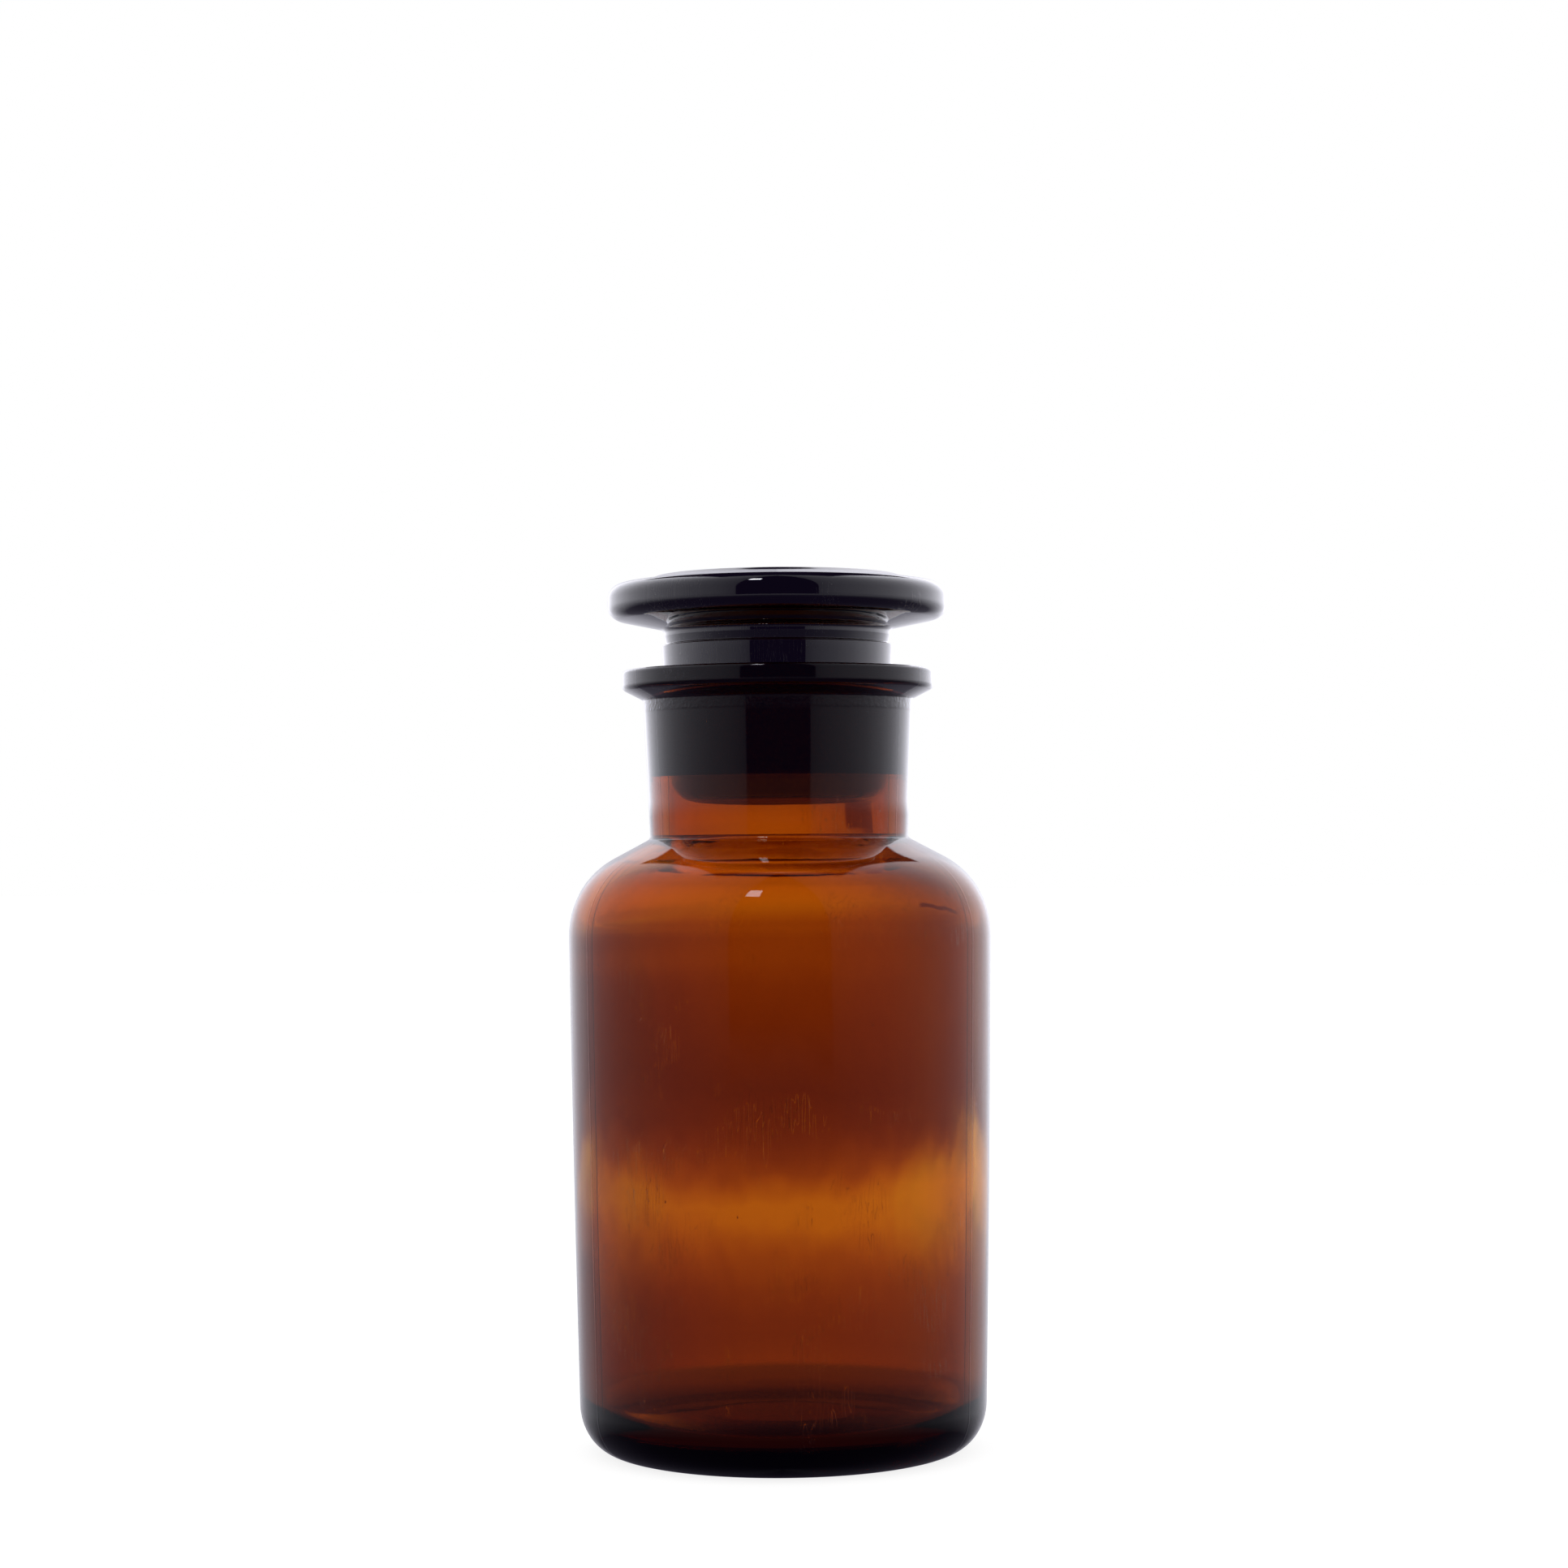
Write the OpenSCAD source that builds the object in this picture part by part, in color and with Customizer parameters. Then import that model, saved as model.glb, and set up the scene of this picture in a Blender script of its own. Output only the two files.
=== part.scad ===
// Wide-mouth reagent bottle in amber glass, with a solid ground-glass stopper.
// The origin is at the middle of the base, and +Z runs up the axis of the bottle.
// Each piece is one outline turned about Z. An outline's corners are given as
// [radius, height, rounding], and a corner with no rounding stays sharp.

/* [Body] */
// Diameter of the body at the shoulder
body_d = 86; // [84:0.5:90]
// Diameter of the body at the foot
foot_d = 82; // [80:0.5:84]
// How far the side bulges past a straight line from foot to shoulder
side_bulge = 0.2; // [0:0.1:0.5]
// Thickness of the wall
wall = 3.2; // [2.6:0.1:3.6]
// Width of the rounded heel, in from the side
heel_w = 7.5; // [6.5:0.5:8]
// Height of the rounded heel
heel_h = 9.5; // [8:0.5:11]
// Rounding of the heel inside
heel_inner_r = 6.5; // [5:0.5:7.5]
// Rounding of the shoulder outside
shoulder_r = 17.5; // [15:0.5:19]
// Slope of the shoulder up to the neck, in degrees from level
shoulder_slope = 28; // [26:1:30]

/* [Base] */
// Inner radius of the ring that the bottle stands on
ring_r = 31.4; // [29.8:0.2:31.8]
// Height of the hollow under the base at its middle
push_up = 2.7; // [2.2:0.1:3.2]
// Thickness of the glass in the middle of the base
base_t = 4.4; // [3.6:0.2:5.2]

/* [Neck] */
// Height at which the shoulder meets the neck
root_z = 123.8; // [122:0.2:126]
// Diameter of the neck at its root
root_d = 52.4; // [51.8:0.2:53]
// Diameter of the neck under its flange
neck_d = 55.0; // [54.4:0.2:55.6]
// Height of the mouth
mouth_z = 158; // [156:0.5:160]
// Diameter of the flange around the mouth
flange_d = 63.6; // [61:0.2:66]
// Height of the flange's upright edge
flange_edge = 3.8; // [3:0.1:4.4]
// Height of the slope under that edge
flange_slope = 2.2; // [1.6:0.1:2.6]

/* [Ground joint] */
// Diameter of the ground socket at the mouth
ground_d = 46.8; // [46:0.1:47.4]
// Length along the axis for a change of 1 in diameter
taper = 10; // [10:1:12]
// Length of the ground zone inside the neck
ground_l = 21.5; // [18:0.5:24]
// Gap between plug and socket, at rest, on the radius
joint_gap = 0.03; // [0.02:0.01:0.08]

/* [Stopper] */
// Depth of the plug below the mouth
plug_depth = 26.2; // [24:0.2:28]
// Rounding of the plug's lower end
plug_end_r = 5.5; // [3:0.5:6.5]
// Length of the ground plug that stands above the mouth
plug_proud = 5; // [4:0.2:6]
// Diameter of the shank between the plug and the disc
shank_d = 46.3; // [45:0.1:46.6]
// Length of the shank
shank_l = 3.4; // [3.2:0.1:4.5]
// Diameter of the disc
disc_d = 69.4; // [66:0.2:72]
// Thickness of the disc at its edge
disc_t = 6.4; // [6:0.1:7.4]
// Rounding of the disc's edge
disc_edge_r = 3.1; // [2.6:0.1:3.1]
// Radius of the raised middle of the disc
crown_r = 24.8; // [22:0.2:27]

/* [Hidden] */

// Largest turn between two points of a rounded corner, in degrees
arc_step = 7.5;
$fn = 128;

// The hollow under the base: a ring foot, a cone, a shallow dish and a round mark
foot_rise = 0.5;
dish_r = 16.4;
dish_drop = 0.7;
dish_rim = 0.4;
mark_r = 6.8;
mark_rise = 0.4;

// Below its ground zone the bore is a little wider, by this step on the radius
bore_step = 0.1;
bore_step_l = 1;
// Bevel at the mouth where the ground zone starts
mouth_bevel = 0.4;

// The inside floor, which is highest in the middle
floor_z = push_up + base_t;
floor_crown_r = 15;
floor_fall = 1.8;

// The side is straight or slightly bulged between these heights
side_from = 16;
side_to = 100;
side_steps = 7;

// The shank narrows down to the plug, by this on the radius, over this height
shank_waist = 0.35;
shank_waist_h = 1.9;
// The underside of the disc rises outwards from the shank
disc_rise = 2.4;
// The top of the disc climbs to a sloping step around its raised middle
top_rise = 1.3;
crown_step = 0.6;
crown_slope = 1.6;
crown_dome = 0.1;

shoulder_z = root_z - (body_d - root_d) / 2 * tan(shoulder_slope);
shoulder_inner_z = shoulder_z - wall / cos(shoulder_slope) + wall * tan(shoulder_slope);
bore_r = ground_r(mouth_z - ground_l) + bore_step;
root_inner_z = shoulder_inner_z + (body_d / 2 - wall - bore_r) * tan(shoulder_slope);
flange_z = mouth_z - flange_edge;
plug_top_z = mouth_z + plug_proud;
disc_z = plug_top_z + shank_l;
edge_z = disc_z + disc_rise;
top_z = edge_z + disc_t;

// Radius of the socket at height z
function ground_r(z) = ground_d / 2 + (z - mouth_z) / (2 * taper);

// Radius of the body's side at height z
function side_r(z) =
    let (t = z / shoulder_z)
    (foot_d + (body_d - foot_d) * t) / 2 + side_bulge * 4 * t * (1 - t);

// The outside of the heel, a quarter of an ellipse from the ground up to the side
function heel() = [
    for (a = [0 : arc_step : 90])
        let (z = heel_h * (1 - cos(a)))
        [side_r(z) - heel_w * (1 - sin(a)), z, 0]
];

// Points up the side, set in from the outside by the given depth
function side(inset) = [
    for (i = [0 : side_steps])
        let (z = side_from + (side_to - side_from) * i / side_steps)
        [side_r(z) - inset, z, 0]
];

function backwards(list) = [for (i = [len(list) - 1 : -1 : 0]) list[i]];
function flat(p) = [p[0], p[1]];
function unit(v) = v / norm(v);
function turned(v, a) = [v[0] * cos(a) - v[1] * sin(a), v[0] * sin(a) + v[1] * cos(a)];

// The arc that rounds corner p, which lies between corners a and b
function arc(a, p, b) =
    let (
        u = unit(flat(a) - flat(p)),
        v = unit(flat(b) - flat(p)),
        half = acos(u * v) / 2,
        centre = flat(p) + unit(u + v) * p[2] / sin(half),
        start = flat(p) + u * p[2] / tan(half) - centre,
        turn = -sign(cross(u, v)) * (180 - 2 * half),
        steps = ceil(abs(turn) / arc_step)
    )
    [for (i = [0 : steps]) centre + turned(start, turn * i / steps)];

function rounded(corners) =
    let (n = len(corners))
    [
        for (i = [0 : n - 1])
            each corners[i][2] == 0
                ? [flat(corners[i])]
                : arc(corners[(i + n - 1) % n], corners[i], corners[(i + 1) % n])
    ];

module turned_glass(corners) {
    rotate_extrude()
        polygon(rounded(corners));
}

// The hollow body, shoulder, neck and flange, all one piece of glass
module bottle() {
    base = [
        [0, push_up + mark_rise, 0],
        [mark_r, push_up + mark_rise, 0.2],
        [mark_r + 0.3, push_up, 0.2],
        [dish_r, push_up - dish_rim, 0.4],
        [dish_r + 0.6, push_up - dish_drop, 0.4],
        [ring_r - 0.5, foot_rise, 0.3],
        [ring_r, 0, 0.2]
    ];
    neck = [
        [body_d / 2, shoulder_z, shoulder_r],
        [root_d / 2, root_z, 1.2],
        [neck_d / 2, flange_z - flange_slope, 0.5],
        [flange_d / 2, flange_z, 1.4],
        [flange_d / 2, mouth_z, 0.9],
        [ground_r(mouth_z) + mouth_bevel, mouth_z, 0],
        [ground_r(mouth_z - mouth_bevel), mouth_z - mouth_bevel, 0]
    ];
    inner_neck = [
        [ground_r(mouth_z - ground_l), mouth_z - ground_l, 0],
        [bore_r, mouth_z - ground_l - bore_step_l, 0],
        [bore_r, root_inner_z, 3],
        [body_d / 2 - wall, shoulder_inner_z, shoulder_r - wall]
    ];
    inner_floor = [
        [foot_d / 2 - wall, floor_z - floor_fall, heel_inner_r],
        [floor_crown_r, floor_z, 30],
        [0, floor_z, 0]
    ];
    color("saddlebrown")
        turned_glass(concat(base, heel(), side(0), neck, inner_neck, backwards(side(wall)), inner_floor));
}

// The solid stopper: a ground plug, a shank and a disc to hold it by
module stopper() {
    plug_r = ground_r(mouth_z - plug_depth) - joint_gap;
    plug_top_r = ground_r(plug_top_z) - joint_gap;
    color("sienna")
        turned_glass([
            [0, mouth_z - plug_depth, 0],
            [plug_r, mouth_z - plug_depth, plug_end_r],
            [plug_top_r, plug_top_z, 0.3],
            [shank_d / 2 - shank_waist, plug_top_z + 0.3, 0],
            [shank_d / 2, plug_top_z + shank_waist_h, 0],
            [shank_d / 2, disc_z, 1.2],
            [disc_d / 2, edge_z, disc_edge_r],
            [disc_d / 2, top_z, disc_edge_r],
            [crown_r + crown_slope, top_z + top_rise, 0.4],
            [crown_r, top_z + top_rise + crown_step, 0.4],
            [0, top_z + top_rise + crown_step + crown_dome, 0]
        ]);
}

bottle();
stopper();
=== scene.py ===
"""A wide-mouth amber reagent bottle with a solid ground-glass stopper, on a plain pale floor.

Both pieces are lathed closed meshes of glass with real walls, so light bends and darkens in them as
it does in the real ones. Outlines are lists of (radius, height, rounding) in millimetres, and mm()
turns a millimetre into scene units.
"""

import math

import bmesh
import bpy
from mathutils import Euler, Matrix, Vector, noise


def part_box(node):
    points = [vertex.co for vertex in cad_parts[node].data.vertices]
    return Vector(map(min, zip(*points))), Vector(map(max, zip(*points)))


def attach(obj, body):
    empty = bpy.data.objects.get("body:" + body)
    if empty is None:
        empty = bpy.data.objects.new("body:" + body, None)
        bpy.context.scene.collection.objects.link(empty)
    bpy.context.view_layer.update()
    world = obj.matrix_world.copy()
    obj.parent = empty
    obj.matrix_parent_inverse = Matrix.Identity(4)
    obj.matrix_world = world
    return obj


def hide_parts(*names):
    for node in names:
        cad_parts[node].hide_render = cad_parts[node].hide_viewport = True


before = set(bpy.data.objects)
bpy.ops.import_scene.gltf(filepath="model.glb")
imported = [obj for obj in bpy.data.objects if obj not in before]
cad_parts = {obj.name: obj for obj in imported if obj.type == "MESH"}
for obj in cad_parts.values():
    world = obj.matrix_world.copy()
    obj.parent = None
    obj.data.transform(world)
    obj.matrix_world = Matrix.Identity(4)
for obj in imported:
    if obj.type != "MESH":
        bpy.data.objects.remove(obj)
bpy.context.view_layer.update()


def mm(value):
    return value / 1000


def polar(radius, azimuth, z):
    """A point in scene units. Azimuth is in degrees: 0 faces the camera, and +90 is to the right."""
    a = math.radians(azimuth)
    return Vector((mm(radius * math.sin(a)), mm(-radius * math.cos(a)), mm(z)))


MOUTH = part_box("bottle")[1].z * 1000
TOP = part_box("stopper")[1].z * 1000
PLUG_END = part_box("stopper")[0].z * 1000

# ---------------------------------------------------------------- camera

CAMERA_DISTANCE = 0.695
CAMERA_HEIGHT = 0.1209
CAMERA_LENS = 78.26
CAMERA_PITCH = 1.146
CAMERA_YAW = -0.09
CAMERA_ROLL = -0.45


def make_camera():
    data = bpy.data.cameras.new("camera")
    data.lens = CAMERA_LENS
    data.sensor_width = 36
    data.clip_start = 0.01
    camera = bpy.data.objects.new("camera", data)
    camera.location = (0, -CAMERA_DISTANCE, CAMERA_HEIGHT)
    aim = Euler((math.radians(90 + CAMERA_PITCH), 0, math.radians(CAMERA_YAW))).to_matrix()
    roll = Euler((0, 0, math.radians(CAMERA_ROLL))).to_matrix()
    camera.rotation_euler = (aim @ roll).to_euler()
    bpy.context.scene.collection.objects.link(camera)
    bpy.context.scene.camera = camera


# ---------------------------------------------------------------- outlines

ARC_STEP = math.radians(5)


def rotated(v, angle):
    c, s = math.cos(angle), math.sin(angle)
    return Vector((v.x * c - v.y * s, v.x * s + v.y * c))


def arc(before, corner, after):
    """The points that round a corner, from the side of one neighbour to the side of the other."""
    here = Vector(corner[:2])
    u = (Vector(before[:2]) - here).normalized()
    v = (Vector(after[:2]) - here).normalized()
    half = math.acos(max(-1, min(1, u.dot(v)))) / 2
    centre = here + (u + v).normalized() * corner[2] / math.sin(half)
    start = here + u * corner[2] / math.tan(half) - centre
    turn = (math.pi - 2 * half) * (-1 if u.x * v.y - u.y * v.x > 0 else 1)
    steps = max(2, math.ceil(abs(turn) / ARC_STEP))
    return [centre + rotated(start, turn * i / steps) for i in range(steps + 1)]


def rounded(corners):
    """An outline's points, with each corner that has a rounding replaced by its arc."""
    points = []
    last = len(corners) - 1
    for i, corner in enumerate(corners):
        if corner[2] == 0:
            points.append(Vector(corner[:2]))
        else:
            points += arc(corners[max(i - 1, 0)], corner, corners[min(i + 1, last)])
    return points


def divided(points, longest):
    """The same outline with its long straight stretches split into shorter ones."""
    result = [points[0]]
    for a, b in zip(points, points[1:]):
        steps = max(1, math.ceil((b - a).length / longest))
        result += [a.lerp(b, i / steps) for i in range(1, steps + 1)]
    return result


# ---------------------------------------------------------------- the bottle's outline

BODY_R = 43.0
FOOT_R = 41.0
SIDE_BULGE = 0.2
WALL = 3.2
HEEL_W, HEEL_H = 7.5, 9.5
RING_R = 31.4
PUSH_UP = 2.7
FLOOR_Z = 7.1
SHOULDER_R = 17.5
SHOULDER_SLOPE = math.tan(math.radians(28))
ROOT_R, ROOT_Z = 26.2, 123.8
SHOULDER_Z = ROOT_Z - (BODY_R - ROOT_R) * SHOULDER_SLOPE
NECK_R = 27.5
FLANGE_R = 31.8
FLANGE_Z = MOUTH - 3.8
GROUND_R = 23.4
GROUND_TAPER = 20
GROUND_END = MOUTH - 21.5
BEVEL = 0.4


def ground_r(z):
    """Radius of the ground socket at a height."""
    return GROUND_R + (z - MOUTH) / GROUND_TAPER


def side_r(z):
    t = z / SHOULDER_Z
    return FOOT_R + (BODY_R - FOOT_R) * t + SIDE_BULGE * 4 * t * (1 - t)


def side(inset):
    """Corners up the side of the body, set in from the outside."""
    heights = [16 + 12 * i for i in range(8)]
    return [(side_r(z) - inset, z, 0) for z in heights]


def heel():
    """Corners around the outside of the heel, a quarter of an ellipse from the ground up to the side."""
    corners = []
    for i in range(19):
        a = math.radians(5 * i)
        z = HEEL_H * (1 - math.cos(a))
        corners.append((side_r(z) - HEEL_W * (1 - math.sin(a)), z, 0))
    return corners


def outside_corners():
    base = [
        (0, PUSH_UP + 0.4, 0), (6.8, PUSH_UP + 0.4, 0.2), (7.1, PUSH_UP, 0.2),
        (16.4, PUSH_UP - 0.4, 0.4), (17.0, PUSH_UP - 0.7, 0.4), (RING_R - 0.5, 0.5, 0.3), (RING_R, 0, 0.2),
    ]
    neck = [
        (BODY_R, SHOULDER_Z, SHOULDER_R), (ROOT_R, ROOT_Z, 1.2), (NECK_R, FLANGE_Z - 2.2, 0.5),
        (FLANGE_R, FLANGE_Z, 1.4), (FLANGE_R, MOUTH, 0.9), (ground_r(MOUTH) + BEVEL, MOUTH, 0.1),
        (ground_r(MOUTH - BEVEL), MOUTH - BEVEL, 0),
    ]
    return base + heel() + side(0) + neck


def inside_corners():
    bore = ground_r(GROUND_END) + 0.1
    inner_shoulder = SHOULDER_Z + WALL * (SHOULDER_SLOPE - math.hypot(1, SHOULDER_SLOPE))
    inner_root = inner_shoulder + (BODY_R - WALL - bore) * SHOULDER_SLOPE
    neck = [
        (ground_r(GROUND_END), GROUND_END, 0), (bore, GROUND_END - 1, 0.3),
        (bore, inner_root, 3), (BODY_R - WALL, inner_shoulder, SHOULDER_R - WALL),
    ]
    floor = [(FOOT_R - WALL, FLOOR_Z - 1.8, 6.5), (15, FLOOR_Z, 30), (0, FLOOR_Z, 0)]
    return neck + side(WALL)[::-1] + floor


# ---------------------------------------------------------------- the stopper's outline

GAP = 0.03
PLUG_TOP = MOUTH + 5
PLUG_END_ROUND = 5.5
SHANK_R = 23.15
SHANK_WAIST = 0.35
SHANK_WAIST_H = 1.9
DISC_Z = PLUG_TOP + 3.4
DISC_R = 34.7
EDGE_Z = DISC_Z + 2.4
RIM_Z = EDGE_Z + 6.4
CROWN_R = 24.8


def stopper_corners():
    return [
        (0, PLUG_END, 0), (ground_r(PLUG_END) - GAP, PLUG_END, PLUG_END_ROUND),
        (ground_r(MOUTH - BEVEL) - GAP, MOUTH - BEVEL, 0), (ground_r(PLUG_TOP) - GAP, PLUG_TOP, 0.3),
        (SHANK_R - SHANK_WAIST, PLUG_TOP + 0.3, 0.2), (SHANK_R, PLUG_TOP + SHANK_WAIST_H, 0.3),
        (SHANK_R, DISC_Z, 1.2), (DISC_R, EDGE_Z, 3.1), (DISC_R, RIM_Z, 3.1),
        (CROWN_R + 1.6, RIM_Z + 1.3, 0.4), (CROWN_R, RIM_Z + 1.9, 0.4), (0, TOP, 0),
    ]


# ---------------------------------------------------------------- turning an outline into a mesh

COLUMNS = 240


def ripple(angle, z, seed, around, along):
    """Smooth unevenness of hot-worked glass, from about -1 to 1, in long waves around and up the piece."""
    place = Vector((math.cos(angle) * around, math.sin(angle) * around, z / along))
    return noise.noise(place + Vector((seed, 0, 0))) + 0.35 * noise.noise(place * 2.7 + Vector((0, seed, 0)))


def turned(outline, wave):
    """A closed mesh of an outline that starts and ends on the axis, turned about Z.

    wave(angle, radius, height) is how far a point moves outwards, in millimetres.
    """
    bm = bmesh.new()
    rings = []
    for p in outline:
        if p.x < 1e-6:
            rings.append([bm.verts.new((0, 0, mm(p.y)))])
            continue
        ring = []
        for i in range(COLUMNS):
            angle = 2 * math.pi * i / COLUMNS
            r = p.x + wave(angle, p.x, p.y)
            ring.append(bm.verts.new((mm(r * math.cos(angle)), mm(r * math.sin(angle)), mm(p.y))))
        rings.append(ring)
    for low, high in zip(rings, rings[1:]):
        for i in range(COLUMNS):
            j = (i + 1) % COLUMNS
            if len(low) == 1:
                bm.faces.new((low[0], high[j], high[i]))
            elif len(high) == 1:
                bm.faces.new((low[i], low[j], high[0]))
            else:
                bm.faces.new((low[i], low[j], high[j], high[i]))
    bmesh.ops.recalc_face_normals(bm, faces=bm.faces)
    return bm


def add_seed(bm, place, size):
    """A seed: a tiny closed bubble in the glass, drawn out along Z, with its faces turned inwards."""
    shape = Matrix.Translation(place) @ Matrix.Diagonal((mm(size), mm(size), mm(size) * 1.8, 1))
    made = bmesh.ops.create_icosphere(bm, subdivisions=2, radius=1, matrix=shape)
    faces = {face for vertex in made["verts"] for face in vertex.link_faces}
    bmesh.ops.reverse_faces(bm, faces=list(faces))


def finished(name, bm, materials, zone):
    """The smooth object of a mesh, where zone(radius, height) says which material a face has."""
    mesh = bpy.data.meshes.new(name)
    bm.normal_update()
    for face in bm.faces:
        face.smooth = True
        centre = face.calc_center_median()
        face.material_index = zone(math.hypot(centre.x, centre.y) * 1000, centre.z * 1000)
    bm.to_mesh(mesh)
    bm.free()
    for material in materials:
        mesh.materials.append(material)
    piece = bpy.data.objects.new(name, mesh)
    bpy.context.scene.collection.objects.link(piece)
    return piece


# ---------------------------------------------------------------- node trees

class Graph:
    """Short calls for building a node tree: each takes numbers or sockets and returns a socket."""

    def __init__(self, tree):
        self.tree = tree

    def put(self, value, socket):
        if isinstance(value, bpy.types.NodeSocket):
            self.tree.links.new(value, socket)
        else:
            socket.default_value = value

    def node(self, kind, **inputs):
        """A node with inputs set by name, where an underscore stands for a space."""
        node = self.tree.nodes.new(kind)
        for name, value in inputs.items():
            self.put(value, node.inputs[name.replace("_", " ")])
        return node

    def place(self):
        """Where a point lies on its own piece."""
        return self.tree.nodes.new("ShaderNodeTexCoord").outputs["Object"]

    def math(self, operation, *values):
        node = self.tree.nodes.new("ShaderNodeMath")
        node.operation = operation
        for value, socket in zip(values, node.inputs):
            self.put(value, socket)
        return node.outputs[0]

    def total(self, first, *others):
        for value in others:
            first = self.math("ADD", first, value)
        return first

    def product(self, first, *others):
        for value in others:
            first = self.math("MULTIPLY", first, value)
        return first

    def smooth(self, value, start, end, low=0.0, high=1.0):
        """low up to start, high past end, and a smooth change between them. start may be above end."""
        node = self.tree.nodes.new("ShaderNodeMapRange")
        node.interpolation_type = "SMOOTHSTEP"
        if start > end:
            start, end, low, high = end, start, high, low
        limits = {"Value": value, "From Min": start, "From Max": end, "To Min": low, "To Max": high}
        for name, item in limits.items():
            self.put(item, node.inputs[name])
        return node.outputs["Result"]

    def band(self, value, low, high, soft):
        """1 between low and high and 0 outside, with edges that are soft on both sides."""
        return self.product(
            self.smooth(value, low - soft, low + soft), self.smooth(value, high + soft, high - soft)
        )

    def ramp(self, value, stops):
        """A curve through (value, brightness) stops. The stops go up in value."""
        low, high = stops[0][0], stops[-1][0]
        span = self.node("ShaderNodeMapRange", Value=value, From_Min=low, From_Max=high)
        node = self.node("ShaderNodeValToRGB", Fac=span.outputs["Result"])
        elements = node.color_ramp.elements
        while len(elements) < len(stops):
            elements.new(0.5)
        # All the places are set before any colour, because the ramp keeps its elements in order of place
        for element, (at, _) in zip(elements, stops):
            element.position = (at - low) / (high - low)
        for element, (_, brightness) in zip(elements, stops):
            element.color = (brightness, brightness, brightness, 1)
        return node.outputs["Color"]

    def mix(self, factor, a, b):
        node = self.tree.nodes.new("ShaderNodeMix")
        node.data_type = "FLOAT"
        for value, socket in zip((factor, a, b), (node.inputs[0], node.inputs[2], node.inputs[3])):
            self.put(value, socket)
        return node.outputs[0]

    def noise(self, vector, scale, detail=2.0):
        return self.node("ShaderNodeTexNoise", Vector=vector, Scale=scale, Detail=detail).outputs["Fac"]

    def stretched(self, vector, scale, turn=(0, 0, 0)):
        node = self.node("ShaderNodeMapping", Vector=vector, Scale=scale, Rotation=turn)
        return node.outputs["Vector"]


# ---------------------------------------------------------------- materials

GLASS_IOR = 1.52
# Where plug and socket touch, light passes almost straight from one to the other
GROUND_IOR = 1.15
# A coat strengthens what the neck and the parts of the stopper above the mouth mirror
NECK_COAT_IOR = 1.65
STOPPER_COAT_IOR = 2.6

AMBER_TINT = (1.0, 0.62, 0.06, 1)
PLUG_TINT = (1.0, 0.55, 0.4, 1)
# Painted shade: a dark tint for the hollow under the base, standing in for the unlit floor under the bottle
UNDERSIDE_SHADE_TINT = (0.08, 0.04, 0.02, 1)
AMBER_DEPTH = (0.748, 0.454, 0.156, 1)
AMBER_DENSITY = 500
STOPPER_DENSITY = 1200

# Bump distances in metres
RELIEF = 0.0003
WORN_RELIEF = 0.0001
GROUND_RELIEF = 0.00003

PEBBLED_BAND = (149.6, 152.2)
SEAM_AZIMUTH = 63
SEAM_HALF = 0.3


def new_glass(name, density, ior):
    """A material of tinted glass, with its tree's graph and its shader."""
    material = bpy.data.materials.new(name)
    material.use_nodes = True
    tree = material.node_tree
    g = Graph(tree)
    shader = tree.nodes["Principled BSDF"]
    shader.inputs["Base Color"].default_value = AMBER_TINT
    shader.inputs["IOR"].default_value = ior
    shader.inputs["Transmission Weight"].default_value = 1
    absorption = g.node("ShaderNodeVolumeAbsorption", Color=AMBER_DEPTH, Density=density)
    tree.links.new(absorption.outputs["Volume"], tree.nodes["Material Output"].inputs["Volume"])
    return material, g, shader


def add_bump(g, shader, height, distance):
    """Bump from a height in the range 0 to 1."""
    node = g.node("ShaderNodeBump", Height=height, Distance=distance)
    g.put(node.outputs["Normal"], shader.inputs["Normal"])


def scratches(g, place, scale, turn, keep):
    """Fine straight scratches: the thin crests of a stretched noise. keep is how many stay, from 0 to 1."""
    crest = g.noise(g.stretched(place, (scale, scale, scale / 14), turn), 1, 0)
    line = g.band(crest, 0.497, 0.503, 0.002)
    patch = g.smooth(g.noise(place, 60), 0.72 - 0.3 * keep, 0.76 - 0.3 * keep)
    return g.product(line, patch)


def bottle_glass():
    """Clear amber glass with smears, scratches, a mould seam and a pebbled band under the flange."""
    material, g, shader = new_glass("amber_glass", AMBER_DENSITY, GLASS_IOR)
    place = g.place()
    x, y, z = g.node("ShaderNodeSeparateXYZ", Vector=place).outputs
    marks = scratches(g, place, 1400, (0.5, 0.2, 0.3), 0.4)
    smears = g.smooth(g.noise(place, 45, 4), 0.5, 0.8)
    g.put(g.total(g.product(smears, 0.02), g.product(marks, 0.15)), shader.inputs["Roughness"])
    g.put(g.smooth(z, mm(ROOT_Z + 4), mm(ROOT_Z + 8)), shader.inputs["Coat Weight"])
    shader.inputs["Coat IOR"].default_value = NECK_COAT_IOR

    low, high = PEBBLED_BAND
    pebbled = g.product(g.noise(place, 1500, 1), g.band(z, mm(low), mm(high), mm(0.3)))
    azimuth = g.math("ABSOLUTE", g.math("ARCTAN2", g.product(x, -1.0), g.product(y, -1.0)))
    low, high = math.radians(SEAM_AZIMUTH - SEAM_HALF), math.radians(SEAM_AZIMUTH + SEAM_HALF)
    seam = g.band(azimuth, low, high, math.radians(0.2))
    orange_peel = g.noise(g.stretched(place, (1, 1, 0.4)), 160, 1)
    height = g.total(
        g.product(pebbled, 0.5), g.product(seam, 0.05), g.product(orange_peel, 0.12), g.product(marks, -0.2)
    )
    add_bump(g, shader, height, RELIEF)
    return material


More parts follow.
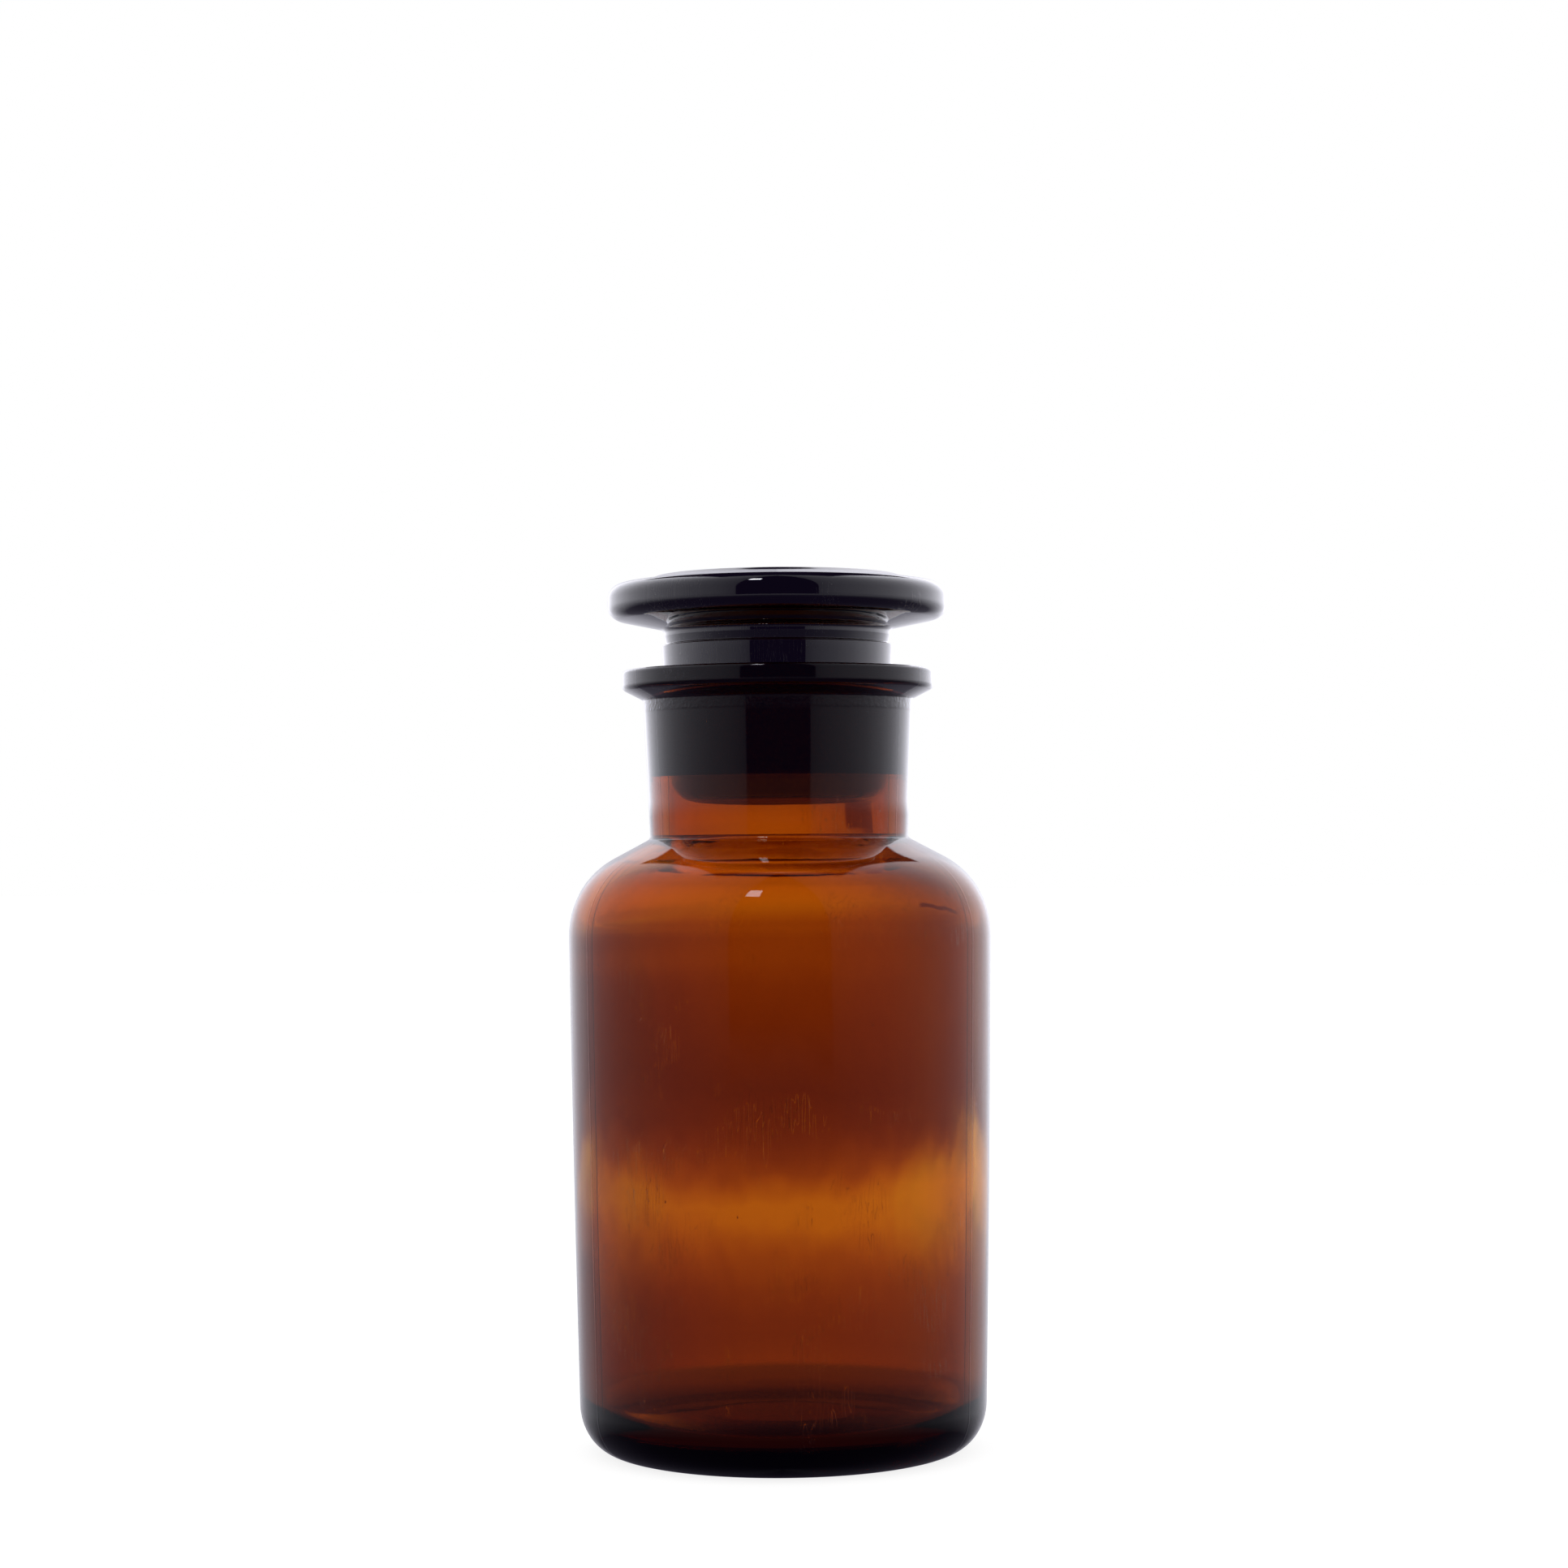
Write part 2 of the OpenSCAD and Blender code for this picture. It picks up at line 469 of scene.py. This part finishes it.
def stopper_glass():
    """The thick pressed glass of the stopper, with the scratches of much handling."""
    material, g, shader = new_glass("stopper_glass", STOPPER_DENSITY, GLASS_IOR)
    place = g.place()
    z = g.node("ShaderNodeSeparateXYZ", Vector=place).outputs["Z"]
    long_marks = scratches(g, place, 900, (1.2, 0.3, 0.9), 0.6)
    short_marks = scratches(g, place, 1300, (0.4, 1.3, 0.2), 0.5)
    marks = g.math("MAXIMUM", long_marks, short_marks)
    smears = g.smooth(g.noise(place, 80, 4), 0.45, 0.75)
    g.put(g.total(g.product(smears, 0.05), g.product(marks, 0.3)), shader.inputs["Roughness"])
    g.put(g.smooth(z, mm(MOUTH - 2), mm(MOUTH - 1)), shader.inputs["Coat Weight"])
    shader.inputs["Coat IOR"].default_value = STOPPER_COAT_IOR
    add_bump(g, shader, g.total(g.product(g.noise(place, 220, 1), 0.1), g.product(marks, -0.3)), RELIEF)
    return material


def ground_glass(name, density, tint):
    """Ground glass in its seat, with fine grain and the rings of its grinding."""
    material, g, shader = new_glass(name, density, GROUND_IOR)
    place = g.place()
    shader.inputs["Base Color"].default_value = tint
    shader.inputs["Transmission Weight"].default_value = 0.97
    rings = g.noise(g.stretched(place, (1, 1, 30)), 120, 2)
    grain = g.noise(place, 2500, 1)
    g.put(g.smooth(rings, 0.3, 0.7, 0.35, 0.5), shader.inputs["Roughness"])
    add_bump(g, shader, g.total(g.product(rings, 0.6), grain), GROUND_RELIEF)
    return material


def worn_and_shaded_glass():
    """The hollow under the base, dulled by wear and tinted dark as painted shade of the unlit floor under the
    bottle, so it lets little light through.
    """
    material, g, shader = new_glass("worn_and_shaded_glass", AMBER_DENSITY, GLASS_IOR)
    shader.inputs["Base Color"].default_value = UNDERSIDE_SHADE_TINT
    wear = g.noise(g.place(), 300, 4)
    g.put(g.smooth(wear, 0.3, 0.7, 0.05, 0.2), shader.inputs["Roughness"])
    add_bump(g, shader, wear, WORN_RELIEF)
    return material


# ---------------------------------------------------------------- pieces

# Seeds in the bottle's glass, as azimuth, height, depth from the outside and size
SEEDS = [
    (61, 143.0, 1.2, 0.22), (-32, 146.8, 1.0, 0.2), (-69, 119.6, 1.4, 0.3), (-48, 133.0, 1.8, 0.12),
    (18, 92.0, 1.3, 0.12), (-40, 77.0, 1.9, 0.14), (35, 64.0, 1.1, 0.1), (-12, 51.0, 1.6, 0.13),
    (8, 28.0, 1.4, 0.12), (52, 38.0, 1.7, 0.14), (-58, 99.0, 1.5, 0.16), (150, 84.0, 1.5, 0.2),
    (-140, 47.0, 1.4, 0.18), (105, 110.0, 1.6, 0.15), (-95, 60.0, 1.5, 0.16),
]

# Above the side the inside of the neck lies within this radius, and the outside beyond it
BORE_LIMIT = 24
SIDE_END = 100
# The inside starts to be uneven at this height, and is fully so at the second
WAVE_FROM, WAVE_FULL = 9, 21
INSIDE_WAVE = 0.025
OUTSIDE_WAVE = 0.01
DISC_WAVE = 0.05
# The highest that ripple() reaches: taken off where a surface may only move inwards
RIPPLE_TOP = 1.4


def bottle_zone(radius, z):
    """1 for the ground socket, 2 for the worn hollow under the base with its painted shade, and 0 for the
    rest.
    """
    if radius < ground_r(MOUTH) + 0.05 and GROUND_END < z < MOUTH - BEVEL / 2:
        return 1
    return 2 if z < PUSH_UP + 0.5 and radius < RING_R else 0


def bottle_wave(angle, radius, z):
    """The blown inside is uneven, the moulded outside only a little, and the neck and its socket are true."""
    if radius < BORE_LIMIT and z > GROUND_END - 3:
        return 0
    strength = min(1, max(0, (z - WAVE_FROM) / (WAVE_FULL - WAVE_FROM)))
    inside_limit = side_r(z) - 1.5 if z < SIDE_END else BORE_LIMIT
    if radius < inside_limit:
        return INSIDE_WAVE * strength * ripple(angle, z, 3.0, 1.1, 40)
    if z > ROOT_Z:
        return 0
    return OUTSIDE_WAVE * strength * (ripple(angle, z, 9.0, 1.6, 30) - RIPPLE_TOP)


def outside_r(z):
    """Radius of the bottle's outside at a height above the heel."""
    points = rounded(outside_corners())
    for a, b in zip(points, points[1:]):
        if a.y <= z < b.y:
            return a.lerp(b, (z - a.y) / (b.y - a.y)).x


def make_bottle():
    bm = turned(divided(rounded(outside_corners() + inside_corners()), 2.5), bottle_wave)
    for azimuth, z, depth, size in SEEDS:
        add_seed(bm, polar(outside_r(z) - depth, azimuth, z), size)
    materials = [bottle_glass(), ground_glass("ground_socket", AMBER_DENSITY, AMBER_TINT), worn_and_shaded_glass()]
    bottle = finished("bottle_glass", bm, materials, bottle_zone)
    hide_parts("bottle")
    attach(bottle, "bottle")


def stopper_zone(radius, z):
    """1 for the ground side of the plug, and 0 for the rest."""
    return int(PLUG_END + PLUG_END_ROUND < z < MOUTH - BEVEL / 2 and radius > 20)


def stopper_wave(angle, radius, z):
    """The pressed disc is a little uneven, and the ground plug is true."""
    if z < DISC_Z or z > RIM_Z + 1 or radius < SHANK_R + 2:
        return 0
    return DISC_WAVE * (ripple(angle, z, 5.0, 1.8, 12) - RIPPLE_TOP)


def make_stopper():
    bm = turned(divided(rounded(stopper_corners()), 1.5), stopper_wave)
    materials = [stopper_glass(), ground_glass("ground_plug", STOPPER_DENSITY, PLUG_TINT)]
    stopper = finished("stopper_glass", bm, materials, stopper_zone)
    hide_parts("stopper")
    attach(stopper, "stopper")


# ---------------------------------------------------------------- floor

FLOOR_TONE = (0.25, 0.25, 0.25, 1)
FLOOR_GLOW = 0.85
SHADE_RADIUS = 0.125
SHADE_COLOUR = (1, 0.8, 0.9, 1)


def make_floor():
    """The white floor. What the glass shows and mirrors of the floor is in the studio's own brightness."""
    bpy.ops.mesh.primitive_plane_add(size=20, location=(0, 0, -0.0002))
    floor = bpy.context.object
    floor.name = "floor"
    material = bpy.data.materials.new("floor")
    material.use_nodes = True
    shader = material.node_tree.nodes["Principled BSDF"]
    shader.inputs["Base Color"].default_value = FLOOR_TONE
    shader.inputs["Specular IOR Level"].default_value = 0
    shader.inputs["Emission Color"].default_value = (1, 1, 1, 1)
    shader.inputs["Emission Strength"].default_value = FLOOR_GLOW
    floor.data.materials.append(material)
    floor.visible_transmission = False
    floor.visible_glossy = False


def make_shade():
    """The unlit floor under the bottle, a disc with a soft edge that only shows through its glass."""
    bpy.ops.mesh.primitive_circle_add(
        vertices=96, radius=SHADE_RADIUS, fill_type="NGON", location=(0, 0, -0.0001)
    )
    shade = bpy.context.object
    shade.name = "shade"
    material = bpy.data.materials.new("shade")
    material.use_nodes = True
    tree = material.node_tree
    tree.nodes.remove(tree.nodes["Principled BSDF"])
    g = Graph(tree)
    length = tree.nodes.new("ShaderNodeVectorMath")
    length.operation = "LENGTH"
    g.put(g.place(), length.inputs[0])
    away = length.outputs["Value"]
    dark = g.node("ShaderNodeEmission", Color=SHADE_COLOUR, Strength=g.smooth(away, 0.036, 0.06, 0.05, 0.2))
    clear = tree.nodes.new("ShaderNodeBsdfTransparent")
    mixed = g.node("ShaderNodeMixShader", Fac=g.smooth(away, 0.075, 0.115))
    g.put(dark.outputs[0], mixed.inputs[1])
    g.put(clear.outputs[0], mixed.inputs[2])
    g.put(mixed.outputs[0], tree.nodes["Material Output"].inputs["Surface"])
    shade.data.materials.append(material)
    shade.visible_camera = False
    shade.visible_diffuse = False
    shade.visible_glossy = False
    shade.visible_shadow = False


# ---------------------------------------------------------------- studio

# What stands behind the bottle and shows through it, on the left, in the middle and on the right, as
# stops of elevation in degrees and brightness. From the bottom up: the floor, a bright strip at its far
# end near -6, a dim wall, and the brighter part of the wall over it.
BEHIND_LEFT = [
    (-30, 0.1), (-16, 0.3), (-7.9, 0.23), (-7.4, 0.26), (-6.6, 0.52), (-6.2, 0.78), (-5.8, 1.03),
    (-5.5, 0.8), (-5.1, 0.47), (-4.6, 0.25), (-3.7, 0.2), (-2.5, 0.24), (-1.4, 0.39), (-1, 0.52),
    (0.3, 0.58), (1.3, 0.8), (3, 0.85), (4, 1.1), (6, 1.3), (10, 1.4), (17, 1.7), (40, 0.4),
]
BEHIND_MIDDLE = [
    (-30, 0.1), (-16, 0.33), (-9, 0.37), (-7.9, 0.32), (-7.4, 0.4), (-6.6, 0.64), (-6.2, 0.93),
    (-5.9, 0.94), (-5.6, 0.64), (-5.3, 0.41), (-4.7, 0.27), (-4, 0.2), (-3.5, 0.24), (-2.5, 0.33),
    (-1.4, 0.48), (-0.8, 0.56), (0, 0.56), (1, 0.7), (3, 0.9), (4.3, 1.0), (10, 1.1), (14, 0.5), (40, 0.3),
]
BEHIND_RIGHT = [
    (-30, 0.1), (-16, 0.33), (-8.3, 0.36), (-7.4, 0.47), (-7, 0.62), (-6.6, 0.92), (-6.2, 1.2),
    (-5.7, 1.36), (-5.35, 1.1), (-5, 0.56), (-4.6, 0.33), (-4.2, 0.3), (-2.5, 0.37), (-1.2, 0.38),
    (0, 0.38), (2, 0.5), (4, 0.7), (13, 0.5), (40, 0.3),
]
BEHIND_SIDES = [(-30, 0.1), (-16, 0.33), (-5, 0.4), (5, 0.5), (20, 0.4)]

# What the glass mirrors, as stops of degrees away from the camera's side and brightness, and how that
# falls off with elevation
WALLS = [
    (0, 0.05), (27, 0.06), (40, 0.1), (60, 0.15), (80, 0.23), (100, 0.36), (115, 0.52), (127, 0.72),
    (137, 0.92), (147, 1.1), (156, 1.3), (166, 1.4), (174, 0.8), (180, 0.5),
]
WALLS_FALL = [(-90, 0.02), (-45, 0.03), (-24, 0.05), (-15, 0.3), (-8, 0.5), (-4, 0.75), (0, 0.95), (3, 1.0)]

# A dark post behind the neck, and the lamp in front, in degrees
POST_AZIMUTH, POST_ELEVATION = (6.5, 14.5), (3.2, 4.2)
LAMP_AZIMUTH, LAMP_ELEVATION = (-26, -15), (53, 62)
LAMP_STRENGTH = 5.0
# Half the width of the dark opening at the camera, in degrees, and of the dark strip overhead, as the
# sideways part of a direction
OPENING_HALF = 27.5
STRIP_HALF = 0.345
# How much of what stands behind still shows in light that was first mirrored inside the glass
ECHO = 0.2


def backdrop(g, elevation, azimuth):
    """Brightness of what stands behind the bottle, seen through it. Azimuth 0 is straight back here."""
    level = g.mix(g.smooth(azimuth, -8, 0), g.ramp(elevation, BEHIND_LEFT), g.ramp(elevation, BEHIND_MIDDLE))
    level = g.mix(g.smooth(azimuth, 0, 9), level, g.ramp(elevation, BEHIND_RIGHT))
    level = g.product(level, g.smooth(azimuth, 11, 20, 1, 1.3), g.smooth(elevation, -2.0, -0.5, 1.05, 1))
    post = g.product(g.band(azimuth, *POST_AZIMUTH, 0.4), g.band(elevation, *POST_ELEVATION, 0.2))
    level = g.product(level, g.math("MULTIPLY_ADD", post, -0.6, 1.0))
    return g.mix(g.smooth(g.math("ABSOLUTE", azimuth), 40, 80), level, g.ramp(elevation, BEHIND_SIDES))


def room(g, elevation, azimuth, x, y):
    """Brightness of the studio all round, as the glass mirrors it. Azimuth 0 faces the camera."""
    around = g.math("ABSOLUTE", azimuth)
    walls = g.product(
        g.ramp(around, WALLS), g.smooth(azimuth, 60, 140, 1.0, 1.2), g.ramp(elevation, WALLS_FALL)
    )
    walls = g.total(walls, g.product(g.band(elevation, -13, -5.5, 2.5), 0.045))
    opening = g.product(
        g.smooth(around, OPENING_HALF + 0.4, OPENING_HALF - 0.4), g.smooth(elevation, -5.6, -4.2)
    )
    strip = g.product(
        g.smooth(g.math("ABSOLUTE", x), STRIP_HALF + 0.015, STRIP_HALF - 0.015),
        g.smooth(elevation, 33, 35), g.smooth(y, -0.1, 0.1),
    )
    walls = g.product(walls, g.math("SUBTRACT", 1.0, g.math("MAXIMUM", opening, strip)))
    lamp = g.product(g.band(azimuth, *LAMP_AZIMUTH, 0.5), g.band(elevation, *LAMP_ELEVATION, 0.5))
    return g.mix(lamp, g.total(walls, 0.008), LAMP_STRENGTH)


def make_world():
    """A studio that is white to the camera, with its own brightness for what glass mirrors and passes."""
    world = bpy.data.worlds.new("studio")
    bpy.context.scene.world = world
    world.use_nodes = True
    tree = world.node_tree
    g = Graph(tree)
    path = tree.nodes.new("ShaderNodeLightPath").outputs
    direction = tree.nodes.new("ShaderNodeTexCoord").outputs["Generated"]
    x, y, z = g.node("ShaderNodeSeparateXYZ", Vector=direction).outputs
    elevation = g.math("DEGREES", g.math("ARCSINE", z))
    front_azimuth = g.math("DEGREES", g.math("ARCTAN2", x, g.product(y, -1.0)))
    back_azimuth = g.math("DEGREES", g.math("ARCTAN2", x, y))
    aside = g.math("ABSOLUTE", back_azimuth)

    mirrored = room(g, elevation, front_azimuth, x, y)
    mirrored_rgb = (g.total(mirrored, 0.006), mirrored, g.math("MULTIPLY_ADD", mirrored, 1.08, 0.02))

    behind = backdrop(g, elevation, back_azimuth)
    straight = g.math("LESS_THAN", path["Glossy Depth"], 0.5)
    behind = g.product(behind, g.mix(straight, g.smooth(aside, 5, 14, ECHO, 1.0), 1.0))
    # The brighter it is behind, the yellower, and more so to the sides
    warmth = g.product(g.math("MULTIPLY_ADD", behind, 1.2, 0.27), g.smooth(aside, 3, 8, 1, 1.3))
    warmth = g.math("MINIMUM", warmth, g.smooth(elevation, 0, 2, 2.0, 1.3))
    behind_rgb = (behind, g.product(behind, warmth), behind)

    white = g.math("MAXIMUM", path["Is Camera Ray"], path["Is Diffuse Ray"])
    colour = tree.nodes.new("ShaderNodeCombineColor")
    for socket, reflected, passed in zip(colour.inputs, mirrored_rgb, behind_rgb):
        g.put(g.mix(white, g.mix(path["Is Transmission Ray"], reflected, passed), 1.0), socket)
    g.put(colour.outputs["Color"], tree.nodes["Background"].inputs["Color"])


make_camera()
make_bottle()
make_stopper()
make_floor()
make_shade()
make_world()

scene = bpy.context.scene
scene.view_settings.view_transform = "Standard"
scene.cycles.max_bounces = 24
scene.cycles.transmission_bounces = 24
scene.cycles.glossy_bounces = 12
